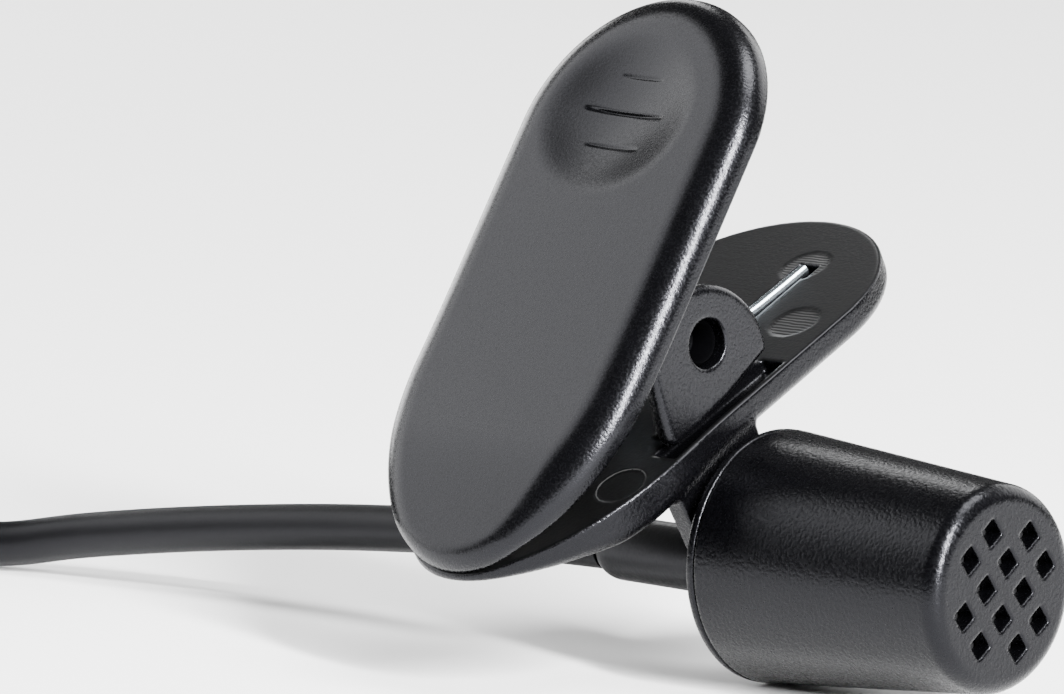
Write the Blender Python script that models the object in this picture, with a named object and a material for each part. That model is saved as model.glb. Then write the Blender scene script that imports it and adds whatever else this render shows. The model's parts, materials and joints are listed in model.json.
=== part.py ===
"""A lavalier microphone on its tie clip, with its cable coiled and tied beside it.

Sizes are in millimetres and are turned into metres where vertices are made. The microphone frame has its
origin where the barrel's rear seam crosses the barrel's axis: X runs along that axis towards the grille, Y
away from the front clip half, Z up. Each clip half has a frame of its own with its origin on the pivot, X
along the pin, Y (called v) towards the finger end and Z (called n) from the rear half towards the front one.
"""

import math

import bmesh
import bpy
from mathutils import Matrix, Vector

MM = 0.001

# microphone housing
BARREL_REAR_R = 7.1
BARREL_FRONT_R = 5.66
BARREL_LENGTH = 16.5
BARREL_FILLET = 0.9
BARREL_WALL = 1.1
GRILLE_THICKNESS = 1.1
HOLE_PITCH = 1.52
HOLE_HALF_DIAGONAL = 0.8
HOLE_REACH = (3.0, 1.0)
GRILLE_TURN = -8.4
CAP_THICKNESS = 0.6
CAP_BEVEL = 0.2
SPIGOT_CLEARANCE = 0.35
SPIGOT_END = 1.6
SEAM = 0.05

# neck of the microphone, just under the barrel's axis
NECK_DROP = 0.9
NECK_R = 1.85
NECK_LENGTH = 13.0
NECK_END = -CAP_THICKNESS - SEAM - NECK_LENGTH
NECK_BORE_R = 0.95
NECK_ROUNDING = (1.6, 0.9)
FLANGE = (1.7, 2.6)
FLANGE_R = 2.9

# what the barrel holds, as spans along the axis
FELT = (14.35, 15.3)
FELT_R = 4.35
ELEMENT = (11.2, 13.85)
ELEMENT_R = 3.0
SEAL = (10.9, 13.9, 14.25)
SEAL_R = 4.3
SEAL_BORE_R = 3.05
SEAL_LIP_R = 2.4
BOARD = (10.4, 10.85)
BOARD_R = 2.7
LEAD_R = 0.33
LEAD_SPREAD = (0.45, 0.9, 1.2)
FERRULE = (2.8, 4.6)
FERRULE_R = (0.9, 1.4)

# cable and what it ends in
CABLE_R = 1.4
TABLE = -BARREL_REAR_R
COIL_CENTRE = Vector((-94.5, -12.0, TABLE))
COIL_INNER_R = 9.1
COIL_OUTER_R = 23.9
COIL_BOTTOM = 0.9
COIL_HEIGHT = 11.6
COIL_EDGE_R = 1.4
TIE_THICKNESS = 0.5
TIE_HALF_WIDTH = 2.0
TIE_SLACK = 0.1
TIE_INNER_SLACK = 0.4
PLUG_FROM = COIL_CENTRE + Vector((-29.5, -12.0, 4.6))
BOOT = [(0, 0), (0, 2.2), (8.0, 3.2), (8.0, 0)]
SHELL = [(8.1, 0), (8.1, 3.9), (8.8, 4.5), (24.0, 4.5), (24.8, 3.6), (24.8, 0)]
SLEEVE = [(24.9, 0), (24.9, 2.5), (26.2, 2.5), (26.2, 1.75), (31.6, 1.75), (31.6, 0)]
FIRST_INSULATOR = [(31.65, 0), (31.65, 1.7), (32.25, 1.7), (32.25, 0)]
RING = [(32.3, 0), (32.3, 1.75), (34.6, 1.75), (34.6, 0)]
SECOND_INSULATOR = [(34.65, 0), (34.65, 1.7), (35.25, 1.7), (35.25, 0)]
TIP = [(35.3, 0), (35.3, 1.75), (36.2, 1.75), (37.0, 1.25), (38.0, 1.75), (39.2, 0.6), (39.4, 0)]

# clip
CLIP_MIDDLE = -10.3
PIVOT = Vector((CLIP_MIDDLE, -3.5, 11.98))
REAR_TILT = 27.2
FRONT_TILT = 57.8
HALF_WIDTH = 8.77
REAR_PLANE = -3.86
FRONT_PLANE = 3.26
REAR_THICKNESS = 1.9
FRONT_THICKNESS = 2.2
REAR_ENDS = (18.4, -16.6)
FRONT_ENDS = (19.1, -16.9)
JAW_TAPER = 12.0
BEND_START = 0.5
REAR_BEND = -0.0045
FRONT_BEND = 0.003
LIP_START = -14.8
REAR_LIP = 0.2
FRONT_LIP = 0.3
BELLY = 0.6
BELLY_SPAN = (-1.0, -9.0)
REAR_TAPER = (-10.0, -6.85, 0.155)
FRONT_TAPER = (-9.0, 0.3, 3.0)
REAR_EDGE = (0.9, 1.1)
FRONT_EDGE = (1.65, 2.3)
OUTER_EAR = (6.8, 7.9)
OUTER_EAR_CENTRE = -0.9
OUTER_EAR_RADII = (3.5, 4.3)
TOE_CENTRE = (-4.3, -3.25)
TOE_R = 0.65
INNER_EAR = (5.4, 6.6)
INNER_EAR_R = 3.0
EAR_ROOT = 0.5
PIN_R = 1.3
PIN_FIT = 0.03
PIN_INSET = 0.6
WIRE_R = 0.38
SPRING_R = 1.9
SPRING_TURNS = 5.25
SPRING_PITCH = 0.78
REAR_LEG_X = 2.2
FRONT_LEG_X = -2.8
LEG_END = 13.4
GROOVE_HALF_WIDTH = 0.55
GROOVE_DEPTH = 0.55
RECESS_HALF_WIDTH = 0.8
RECESS_DEPTH = 1.1
POCKET_V = (-5.4, 4.3)
POCKET_DEPTH = 0.75
DIMPLE = (-0.6, 11.0)
DIMPLE_RADII = (5.6, 5.0, 1.9)
DIMPLE_RAISE = 1.2
RING_X = (-3.2, -1.7)
RING_R = 3.1
LUG_HALF_ROOT = 3.6
MOUTH_HALF_WIDTH = 1.5
RUNNING_GAP = 0.1
SHARP_ANGLE = 35


# ---------------------------------------------------------------- materials

def material(name, colour, roughness, metallic=0.0):
    """A plain Principled material."""
    made = bpy.data.materials.new(name)
    made.use_nodes = True
    made.diffuse_color = (*colour, 1.0)
    shader = made.node_tree.nodes["Principled BSDF"]
    shader.inputs["Base Color"].default_value = (*colour, 1.0)
    shader.inputs["Roughness"].default_value = roughness
    shader.inputs["Metallic"].default_value = metallic
    return made


# ---------------------------------------------------------------- making objects

def empty(name, location, tilt=0.0, parent=None):
    """A frame: its location in mm, and its turn about X in degrees."""
    frame = bpy.data.objects.new(name, None)
    frame.location = Vector(location) * MM
    frame.rotation_euler = (math.radians(tilt), 0, 0)
    frame.parent = parent
    bpy.context.scene.collection.objects.link(frame)
    return frame


def add_object(name, bm, mat, parent, location=(0, 0, 0)):
    """Turn a bmesh in mm into a named object in metres, with its faces turned outwards."""
    bmesh.ops.recalc_face_normals(bm, faces=bm.faces)
    bmesh.ops.scale(bm, vec=(MM, MM, MM), verts=bm.verts)
    mesh = bpy.data.meshes.new(name)
    bm.to_mesh(mesh)
    bm.free()
    mesh.materials.append(mat)
    made = bpy.data.objects.new(name, mesh)
    made.location = Vector(location) * MM
    made.parent = parent
    bpy.context.scene.collection.objects.link(made)
    mesh.shade_smooth()
    mesh.set_sharp_from_angle(angle=math.radians(SHARP_ANGLE))
    return made


def combine(target, others, operation):
    """Join or cut target with the other objects, keep the result as its mesh, and drop the others."""
    for other in others:
        modifier = target.modifiers.new(operation, "BOOLEAN")
        modifier.operation = operation
        modifier.solver = "EXACT"
        modifier.object = other
    bpy.context.view_layer.update()
    depsgraph = bpy.context.evaluated_depsgraph_get()
    result = bpy.data.meshes.new_from_object(target.evaluated_get(depsgraph))
    target.modifiers.clear()
    target.data = result
    for other in others:
        bpy.data.objects.remove(other)
    result.shade_smooth()
    result.set_sharp_from_angle(angle=math.radians(SHARP_ANGLE))


def arc(centre, radius, start, end, steps):
    """Points of a circular arc, with its angles in degrees."""
    points = []
    for k in range(steps + 1):
        angle = math.radians(start + (end - start) * k / steps)
        points.append((centre[0] + radius * math.cos(angle), centre[1] + radius * math.sin(angle)))
    return points


def turned(profile, steps=48):
    """A body turned about X from (x, radius) points: open ends on the axis, or a closed loop off it."""
    bm = bmesh.new()
    rings = []
    for x, radius in profile:
        if radius == 0:
            rings.append([bm.verts.new((x, 0, 0))])
            continue
        ring = []
        for k in range(steps):
            angle = 2 * math.pi * k / steps
            ring.append(bm.verts.new((x, radius * math.cos(angle), radius * math.sin(angle))))
        rings.append(ring)
    pairs = list(zip(rings, rings[1:]))
    if profile[0][1] > 0:
        pairs.append((rings[-1], rings[0]))
    for one, two in pairs:
        for k in range(steps):
            after = (k + 1) % steps
            corners = [one[k % len(one)], one[after % len(one)], two[after % len(two)], two[k % len(two)]]
            bm.faces.new(list(dict.fromkeys(corners)))
    return bm


def tube_profile(x0, x1, inner, outer):
    """The section of a plain sleeve."""
    return [(x0, inner), (x0, outer), (x1, outer), (x1, inner)]


def disc_profile(span, radius):
    """The section of a plain disc."""
    return [(span[0], 0), (span[0], radius), (span[1], radius), (span[1], 0)]


def prism(outline, x0, x1):
    """An outline in (y, z), extruded along X."""
    bm = bmesh.new()
    low = [bm.verts.new((x0, y, z)) for y, z in outline]
    high = [bm.verts.new((x1, y, z)) for y, z in outline]
    bm.faces.new(low[::-1])
    bm.faces.new(high)
    count = len(outline)
    for k in range(count):
        bm.faces.new((low[k], low[(k + 1) % count], high[(k + 1) % count], high[k]))
    return bm


def box(low, high):
    """A box between two corners."""
    outline = [(low[1], low[2]), (high[1], low[2]), (high[1], high[2]), (low[1], high[2])]
    return prism(outline, low[0], high[0])


def wire(name, points, radius, mat, parent):
    """A round wire or cable along points, as a curve with filled ends."""
    curve = bpy.data.curves.new(name, "CURVE")
    curve.dimensions = "3D"
    curve.bevel_depth = radius * MM
    curve.bevel_resolution = 2
    curve.use_fill_caps = True
    spline = curve.splines.new("POLY")
    spline.points.add(len(points) - 1)
    for spot, point in zip(spline.points, points):
        spot.co = (*(Vector(point) * MM), 1.0)
    curve.materials.append(mat)
    made = bpy.data.objects.new(name, curve)
    made.parent = parent
    bpy.context.scene.collection.objects.link(made)
    return made


def smooth_route(points, spacing):
    """Points about a spacing apart on the smooth (Catmull-Rom) curve through the route's points."""
    knots = [Vector(p) for p in points]
    knots = [2 * knots[0] - knots[1]] + knots + [2 * knots[-1] - knots[-2]]
    fine = []
    for a, b, c, d in zip(knots, knots[1:], knots[2:], knots[3:]):
        for k in range(40):
            t = k / 40
            fine.append(0.5 * (2 * b + (c - a) * t + (2 * a - 5 * b + 4 * c - d) * t ** 2
                               + (3 * b - a - 3 * c + d) * t ** 3))
    fine.append(knots[-2])
    length = sum((q - p).length for p, q in zip(fine, fine[1:]))
    count = max(2, round(length / spacing))
    route, walked, step = [fine[0]], 0.0, length / count
    for p, q in zip(fine, fine[1:]):
        walked += (q - p).length
        if walked >= step * len(route) and len(route) < count:
            route.append(q)
    return route + [fine[-1]]


# ---------------------------------------------------------------- microphone

def grille_holes(parent, mat):
    """Cutters for the diamond holes: two and three in turn, on the odd points of a square lattice."""
    turn = Matrix.Rotation(math.radians(GRILLE_TURN), 4, "X")
    half = HOLE_HALF_DIAGONAL
    diamond = [(half, 0), (0, half), (-half, 0), (0, -half)]
    steps = range(-2, 3)
    spots = [(i, j) for j in steps for i in steps if (i + j) % 2 == 1]
    cutters = []
    for i, j in spots:
        outline = [(i * HOLE_PITCH + y, j * HOLE_PITCH + z) for y, z in diamond]
        bm = prism(outline, BARREL_LENGTH - HOLE_REACH[0], BARREL_LENGTH + HOLE_REACH[1])
        bmesh.ops.transform(bm, matrix=turn, verts=bm.verts)
        cutters.append(add_object("hole_cutter", bm, mat, parent))
    return cutters


def make_barrel(parent, plastic):
    """Tapered housing, open at the rear, with its grille in the flat front."""
    face = BARREL_LENGTH
    rim = face - BARREL_FILLET
    inner_front = face - GRILLE_THICKNESS
    outside = [(face, 0)] + arc((rim, BARREL_FRONT_R - BARREL_FILLET), BARREL_FILLET, 0, 90, 6)
    inside = [(0, BARREL_REAR_R), (0, BARREL_REAR_R - BARREL_WALL),
              (inner_front, BARREL_FRONT_R - BARREL_WALL), (inner_front, 0)]
    barrel = add_object("barrel", turned(outside + inside, 72), plastic, parent)
    combine(barrel, grille_holes(parent, plastic), "DIFFERENCE")


def make_rear_cap(parent, plastic):
    """Disc that closes the barrel, with a spigot inside it and a round outlet for the neck."""
    back = -CAP_THICKNESS - SEAM
    spigot = BARREL_REAR_R - BARREL_WALL - SPIGOT_CLEARANCE
    profile = [(back, 0), (back, BARREL_REAR_R - CAP_BEVEL), (back + CAP_BEVEL, BARREL_REAR_R),
               (-SEAM, BARREL_REAR_R), (-SEAM, spigot), (SPIGOT_END, spigot), (SPIGOT_END, 0)]
    cap = add_object("rear_cap", turned(profile, 72), plastic, parent)
    hole = NECK_R + RUNNING_GAP
    outlet = turned([(back - 1, 0), (back - 1, hole), (SPIGOT_END + 1, hole), (SPIGOT_END + 1, 0)])
    combine(cap, [add_object("outlet_cutter", outlet, plastic, parent, (0, 0, -NECK_DROP))], "DIFFERENCE")


def make_neck(parent, rubber):
    """Strain relief: a flange behind the cap's spigot and a round neck with a rounded end."""
    deep, high = NECK_ROUNDING
    end = [(NECK_END + deep * (1 + c), NECK_R - high * (1 - s)) for c, s in arc((0, 0), 1, 180, 90, 6)]
    flange = [(FLANGE[0], NECK_R), (FLANGE[0], FLANGE_R), (FLANGE[1], FLANGE_R)]
    profile = end + flange + [(FLANGE[1], NECK_BORE_R)]
    add_object("strain_relief", turned(profile), rubber, parent, (0, 0, -NECK_DROP))


def make_capsule(parent, felt, metal, rubber, board, copper):
    """What the barrel holds: felt, the electret element in its rubber seal, its board and its leads."""
    add_object("acoustic_felt", turned(disc_profile(FELT, FELT_R)), felt, parent)
    seal = [(SEAL[0], SEAL_BORE_R), (SEAL[0], SEAL_R), (SEAL[2], SEAL_R), (SEAL[2], SEAL_LIP_R),
            (SEAL[1], SEAL_LIP_R), (SEAL[1], SEAL_BORE_R)]
    add_object("element_seal", turned(seal), rubber, parent)
    add_object("electret_element", turned(disc_profile(ELEMENT, ELEMENT_R)), metal, parent)
    add_object("element_board", turned(disc_profile(BOARD, BOARD_R)), board, parent)
    near, middle, far = LEAD_SPREAD
    for name, side in (("signal_wire", 1), ("ground_wire", -1)):
        route = [(NECK_END + 1, near * side, -NECK_DROP), (5.2, near * side, -NECK_DROP),
                 (7.5, middle * side, -0.5), (9.2, far * side, 0), (BOARD[0] - 0.1, far * side, 0)]
        wire(name, smooth_route(route, 1.0), LEAD_R, copper, parent)
    sleeve = turned(tube_profile(*FERRULE, *FERRULE_R), 24)
    add_object("wire_ferrule", sleeve, metal, parent, (0, 0, -NECK_DROP))


# ---------------------------------------------------------------- cable and plug

CABLE_ROUTE = [
    (NECK_END - 0.1, 0, -0.9), (-18, -0.15, -1.0), (-24, -0.4, -1.25), (-30.4, -0.75, -1.7),
    (-36.6, -1.35, -2.2), (-43, -2.2, -2.85), (-49.2, -3.2, -3.6), (-55.5, -4.35, -4.5),
    (-60.6, -5.75, -5.4), (-64.6, -7.6, -5.6), (-67.2, -9.4, -5.6), (-68.9, -11.0, -5.5),
]
TAIL_ROUTE = [
    (-107.0, -34.45, 2.7), (-113.0, -34.35, 1.7), (-117.6, -33.6, 0.5), (-121.0, -31.4, -0.8),
    (-123.2, -28.1, -1.9), (-124.0, -24.4, -2.5),
]


def make_cable(parent, rubber, tie_plastic):
    """The drooping stretch, the tied coil as one solid ring, and the tail to the plug."""
    wire("cable_run", smooth_route(CABLE_ROUTE, 2.5 * CABLE_R), CABLE_R, rubber, parent)
    wire("cable_tail", smooth_route(TAIL_ROUTE, 2.5 * CABLE_R), CABLE_R, rubber, parent)
    low, high, r = COIL_BOTTOM, COIL_BOTTOM + COIL_HEIGHT, COIL_EDGE_R
    outer, inner = COIL_OUTER_R - r, COIL_INNER_R + r
    section = arc((high - r, outer), r, 0, 90, 3) + arc((low + r, outer), r, 90, 180, 3)
    section += arc((low + r, inner), r, 180, 270, 3) + arc((high - r, inner), r, 270, 360, 3)
    ring = turned(section, 48)
    bmesh.ops.rotate(ring, matrix=Matrix.Rotation(math.radians(-90), 3, "Y"), verts=ring.verts)
    add_object("cable_coil", ring, rubber, parent, COIL_CENTRE)
    t, half = TIE_THICKNESS, TIE_HALF_WIDTH
    y0, y1 = COIL_INNER_R - TIE_INNER_SLACK, COIL_OUTER_R + TIE_SLACK
    z0, z1 = low - TIE_SLACK, high + TIE_SLACK
    outer = [(y0 - t, z0 - t), (y1 + t, z0 - t), (y1 + t, z1 + t), (y0 - t, z1 + t)]
    inner = [(y0, z0), (y1, z0), (y1, z1), (y0, z1)]
    tie = add_object("coil_tie", prism(outer, -half, half), tie_plastic, parent, COIL_CENTRE)
    window = add_object("tie_cutter", prism(inner, -half - 1, half + 1), tie_plastic, parent, COIL_CENTRE)
    combine(tie, [window], "DIFFERENCE")


def make_plug(parent, rubber, plastic, metal, insulator):
    """A 3.5 mm plug, built along X and laid beside the coil along Y."""
    frame = empty("plug_frame", PLUG_FROM, parent=parent)
    frame.rotation_euler = (0, 0, math.radians(90))
    pieces = (("plug_boot", BOOT, rubber), ("plug_shell", SHELL, plastic), ("plug_sleeve", SLEEVE, metal),
              ("plug_insulator_1", FIRST_INSULATOR, insulator), ("plug_ring", RING, metal),
              ("plug_insulator_2", SECOND_INSULATOR, insulator), ("plug_tip", TIP, metal))
    for name, profile, mat in pieces:
        add_object(name, turned(profile, 32), mat, frame)


# ---------------------------------------------------------------- clip

def half_outline(ends, inset, steps=12):
    """Outline of a clip half, drawn in by inset: round finger end, straight sides, elliptical jaw end."""
    width = HALF_WIDTH - inset
    round_centre = ends[0] - HALF_WIDTH
    jaw_centre = ends[1] + JAW_TAPER
    side = []
    for k in range(steps + 1):
        angle = math.pi / 2 * k / steps
        side.append((width * math.sin(angle), round_centre + width * math.cos(angle)))
    for k in range(1, steps // 2):
        side.append((width, round_centre + (jaw_centre - round_centre) * k / (steps // 2)))
    for k in range(steps + 1):
        angle = math.pi / 2 * k / steps
        side.append((width * math.cos(angle), jaw_centre - (JAW_TAPER - inset) * math.sin(angle)))
    return side + [(-x, v) for x, v in side[-2:0:-1]]


def eased(distance, softness):
    """A ramp that starts smoothly at zero."""
    return math.hypot(max(0.0, distance), softness) - softness


def rear_inner(v):
    """Height of the rear half's inner face along v: flat, then bending away, with a lip at the jaw's end."""
    return REAR_PLANE + REAR_BEND * max(0.0, BEND_START - v) ** 2 - REAR_LIP * eased(LIP_START - v, 0.3)


def rear_outer(v):
    """Height of the rear half's outer face: a belly round the lug, then a taper to the thin jaw end."""
    share = min(1.0, max(0.0, (BELLY_SPAN[0] - v) / (BELLY_SPAN[0] - BELLY_SPAN[1])))
    body = REAR_PLANE - REAR_THICKNESS + REAR_BEND * max(0.0, BEND_START - v) ** 2
    body -= BELLY * share * share * (3 - 2 * share)
    start, height, slope = REAR_TAPER
    taper = height + slope * (start - v) - 0.02 * max(0.0, start - 4.5 - v) ** 2
    return (body + taper + math.hypot(body - taper, 0.15)) / 2


def front_inner(v):
    """Height of the front half's inner face along v, with a lip that meets the rear half's."""
    return FRONT_PLANE + FRONT_BEND * max(0.0, BEND_START - v) ** 2 - FRONT_LIP * eased(LIP_START - v, 0.3)


def front_outer(v):
    """Height of the front half's outer face along v, falling away towards the jaw's end."""
    start, slope, softness = FRONT_TAPER
    plate = FRONT_PLANE + FRONT_THICKNESS + FRONT_BEND * max(0.0, BEND_START - v) ** 2
    return plate - slope * eased(start - v, softness)


def clip_plate(ends, inner, outer, thickness, edge):
    """A plate swept round the half's outline, from its inner face's middle to its outer face's middle.

    inner and outer give the two faces' heights along v; edge is the outer rounding's depth and width, which
    shrink where the plate is thinner than thickness.
    """
    bm = bmesh.new()
    rings = []
    for inset, share, fading in rounded_section(thickness, edge):
        ring = []
        rim = half_outline(ends, 0)
        for (x, v), (rim_x, rim_v) in zip(half_outline(ends, inset), rim):
            fade = min(1.0, abs(outer(rim_v) - inner(rim_v)) / thickness) if fading else 1.0
            x, v = rim_x + (x - rim_x) * fade, rim_v + (v - rim_v) * fade
            ring.append(bm.verts.new((x, v, inner(v) + (outer(v) - inner(v)) * share)))
        rings.append(ring)
    count = len(rings[0])
    for one, two in zip(rings, rings[1:]):
        for k in range(count):
            bm.faces.new((one[k], one[(k + 1) % count], two[(k + 1) % count], two[k]))
    for ring in (rings[0], rings[-1]):
        half = count // 2
        bm.faces.new((ring[0], ring[1], ring[-1]))
        for k in range(1, half - 1):
            bm.faces.new((ring[k], ring[k + 1], ring[-k - 1], ring[-k]))
        bm.faces.new((ring[half - 1], ring[half], ring[half + 1]))
    return bm


def rounded_section(thickness, edge):
    """Section with a square inner edge and a rounded outer one, as (inset, share of height, fading)."""
    middle = HALF_WIDTH - 0.6
    deep, wide = edge
    section = [(middle, 0, False), (HALF_WIDTH / 2, 0, False), (0, 0, False)]
    for c, s in arc((0, 0), 1, 180, 90, 5):
        section.append((wide * (1 + c), 1 - deep * (1 - s) / thickness, True))
    return section + [(HALF_WIDTH / 2, 1, False), (middle, 1, False)]


def in_front_frame(v, n):
    """A point of the rear half's frame, in the front half's frame, with the jaws closed."""
    turn = math.radians(REAR_TILT - FRONT_TILT)
    return (v * math.cos(turn) - n * math.sin(turn), v * math.sin(turn) + n * math.cos(turn))


def outer_ear():
    """Outline of a front ear: a round lobe below the pivot, cut parallel to the rear plate."""
    across, along = OUTER_EAR_RADII
    lobe = [(across * c, OUTER_EAR_CENTRE + along * s) for c, s in arc((0, 0), 1, -56, 50, 14)]
    root = [(1.6, FRONT_PLANE + EAR_ROOT), (-2.8, FRONT_PLANE + EAR_ROOT)]
    toe = arc(in_front_frame(*TOE_CENTRE), TOE_R, -125, -210, 4)
    sole = [in_front_frame(-2.6, -3.92), in_front_frame(0.0, -3.66)]
    return lobe + root + toe[::-1] + sole


def inner_ear():
    """Outline of a rear ear: a round head on the pivot and a flared root in the plate."""
    root = REAR_PLANE - EAR_ROOT
    return arc((0, 0), INNER_EAR_R, -10, 190, 12) + [(-4.0, root), (4.0, root)]


def mirrored_pair(name, outline, span, mat, parent):
    """The same ear on both sides of the clip."""
    pair = []
    for side in (1, -1):
        pair.append(add_object(name, prism(outline, span[0] * side, span[1] * side), mat, parent))
    return pair


def bar(radius, half_length):
    """A round bar along X."""
    return turned([(-half_length, 0), (-half_length, radius), (half_length, radius), (half_length, 0)], 32)


def ring_lug(parent, plastic):
    """Tapered lug under the rear plate and the snap ring that turns on the microphone's neck."""
    neck = parent.matrix_world.inverted() @ (Vector((0, 0, -NECK_DROP)) * MM) / MM
    x0, x1 = RING_X[0] - CLIP_MIDDLE, RING_X[1] - CLIP_MIDDLE
    root = REAR_PLANE - 0.8
    ring = arc((neck.y, neck.z), RING_R, 190, 350, 20)
    outline = ring + [(neck.y + LUG_HALF_ROOT, root), (neck.y - LUG_HALF_ROOT, root)]
    lug = add_object("lug", prism(outline, x0, x1), plastic, parent)
    bore = bar(NECK_R + RUNNING_GAP, 40)
    opening = MOUTH_HALF_WIDTH
    mouth = box((x0 - 1, neck.y - opening, neck.z - 5), (x1 + 1, neck.y + opening, neck.z))
    cutters = [add_object("ring_cutter", bore, plastic, parent, (0, neck.y, neck.z)),
               add_object("mouth_cutter", mouth, plastic, parent)]
    combine(lug, cutters, "DIFFERENCE")
    return lug


def make_rear_half(frame, plastic):
    """Rear clip half: bent plate, two inner ears, ring lug, spring groove and pockets for the outer ears."""
    plate = clip_plate(REAR_ENDS, rear_inner, rear_outer, REAR_THICKNESS, REAR_EDGE)
    half = add_object("clip_back", plate, plastic, frame)
    ears = mirrored_pair("ear", inner_ear(), INNER_EAR, plastic, frame)
    combine(half, ears + [ring_lug(frame, plastic)], "UNION")
    cutters = [add_object("pin_cutter", bar(PIN_R + PIN_FIT, 12), plastic, frame)]
    groove = box((REAR_LEG_X - GROOVE_HALF_WIDTH, 1.0, REAR_PLANE - GROOVE_DEPTH),
                 (REAR_LEG_X + GROOVE_HALF_WIDTH, LEG_END + 0.3, 0))
    recess = box((REAR_LEG_X - RECESS_HALF_WIDTH, LEG_END - 0.9, REAR_PLANE - RECESS_DEPTH),
                 (REAR_LEG_X + RECESS_HALF_WIDTH, LEG_END + 0.6, 0))
    cutters.append(add_object("groove_cutter", groove, plastic, frame))
    cutters.append(add_object("recess_cutter", recess, plastic, frame))
    for side in (1, -1):
        inner, outer = sorted((side * (OUTER_EAR[0] - 0.15), side * (OUTER_EAR[1] + 0.4)))
        pocket = box((inner, POCKET_V[0], REAR_PLANE - POCKET_DEPTH), (outer, POCKET_V[1], 0))
        cutters.append(add_object("pocket_cutter", pocket, plastic, frame))
    combine(half, cutters, "DIFFERENCE")


def make_front_half(frame, plastic):
    """Front clip half: plate with rounded edges, a shallow thumb dimple and two outer ears."""
    plate = clip_plate(FRONT_ENDS, front_inner, front_outer, FRONT_THICKNESS, FRONT_EDGE)
    half = add_object("clip_front", plate, plastic, frame)
    combine(half, mirrored_pair("ear", outer_ear(), OUTER_EAR, plastic, frame), "UNION")
    ball = bmesh.new()
    bmesh.ops.create_icosphere(ball, subdivisions=4, radius=1.0)
    bmesh.ops.scale(ball, vec=DIMPLE_RADII, verts=ball.verts)
    above = FRONT_PLANE + FRONT_THICKNESS + DIMPLE_RAISE
    cutters = [add_object("pivot_cutter", bar(PIN_R + RUNNING_GAP, 12), plastic, frame),
               add_object("dimple_cutter", ball, plastic, frame, (*DIMPLE, above))]
    combine(half, cutters, "DIFFERENCE")


def make_spring(rear, front, steel, pin_steel):
    """Pin, the wound spring with the leg in the rear groove, and the leg under the front plate."""
    add_object("pivot_pin", bar(PIN_R, OUTER_EAR[1] - PIN_INSET), pin_steel, rear)
    steps = 18
    coil = []
    for k in range(round(SPRING_TURNS * steps) + 1):
        angle = math.radians(-90) - 2 * math.pi * k / steps
        x = REAR_LEG_X - SPRING_PITCH * k / steps
        coil.append((x, SPRING_R * math.cos(angle), SPRING_R * math.sin(angle)))
    seat = REAR_PLANE - 0.1
    leg = [(REAR_LEG_X, LEG_END, seat), (REAR_LEG_X, 11, seat + 0.02), (REAR_LEG_X, 8, seat + 0.15),
           (REAR_LEG_X, 4.5, seat + 0.9), (REAR_LEG_X, 1.8, -2.2)]
    wire("torsion_spring", [Vector(p) for p in leg] + coil, WIRE_R, steel, rear)
    rest = FRONT_PLANE - WIRE_R - 0.06
    route = [(FRONT_LEG_X, 0.6, SPRING_R), (FRONT_LEG_X, 4, 2.25), (FRONT_LEG_X, 8, rest - 0.1),
             (FRONT_LEG_X, 12.5, rest)]
    wire("spring_front_leg", smooth_route(route, 1.0), WIRE_R, steel, front)


# ---------------------------------------------------------------- the whole object

CORD_PARTS = ("cable_run", "cable_tail", "cable_coil", "coil_tie", "plug_")


def stand_on_origin(root):
    """Move everything so that the microphone and its clip stand on the origin, centred over it."""
    bpy.context.view_layer.update()
    depsgraph = bpy.context.evaluated_depsgraph_get()
    corners = []
    for made in bpy.context.scene.objects:
        if made.type == "EMPTY" or made.name.startswith(CORD_PARTS):
            continue
        mesh = made.evaluated_get(depsgraph).to_mesh()
        corners += [made.matrix_world @ v.co for v in mesh.vertices]
    low = Vector([min(c[k] for c in corners) for k in range(3)])
    high = Vector([max(c[k] for c in corners) for k in range(3)])
    root.location -= Vector(((low.x + high.x) / 2, (low.y + high.y) / 2, low.z))


def main():
    for old in list(bpy.data.objects):
        bpy.data.objects.remove(old)
    plastic = material("black_plastic", (0.018, 0.018, 0.021), 0.42)
    matte = material("clip_plastic", (0.030, 0.030, 0.033), 0.55)
    rubber = material("cable_rubber", (0.016, 0.016, 0.017), 0.62)
    steel = material("spring_steel", (0.62, 0.63, 0.65), 0.25, 1.0)
    pin_steel = material("pin_steel", (0.08, 0.08, 0.085), 0.4, 1.0)
    nickel = material("nickel", (0.72, 0.70, 0.66), 0.2, 1.0)
    felt = material("felt", (0.01, 0.01, 0.01), 0.95)
    board = material("board", (0.03, 0.16, 0.07), 0.5)
    copper = material("lead_insulation", (0.35, 0.05, 0.04), 0.5)
    insulator = material("insulator", (0.02, 0.02, 0.02), 0.35)

    root = empty("microphone_frame", (0, 0, 0))
    make_barrel(root, plastic)
    make_rear_cap(root, plastic)
    make_neck(root, rubber)
    make_capsule(root, felt, nickel, rubber, board, copper)
    make_cable(root, rubber, insulator)
    make_plug(root, rubber, plastic, nickel, insulator)
    rear = empty("rear_half_frame", PIVOT, REAR_TILT, root)
    front = empty("front_half_frame", PIVOT, FRONT_TILT, root)
    bpy.context.view_layer.update()
    make_rear_half(rear, matte)
    make_front_half(front, matte)
    make_spring(rear, front, steel, pin_steel)
    stand_on_origin(root)


main()
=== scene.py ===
"""Looks of a lavalier microphone on its tie clip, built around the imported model.

Sizes below are in millimetres unless a name says otherwise. Shapes are written in local frames. The
microphone frame has its origin where the barrel's rear seam crosses the barrel's axis, with X towards the
grille. Each clip half has its origin on the pivot, with X along the pin, v towards the finger end and n from
the rear half to the front.
Moulded shapes are distance fields, negative inside, skinned with quads and then drawn onto the surface.
"""

import json
import math

import bpy
import numpy as np
from mathutils import Matrix, Vector


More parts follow.
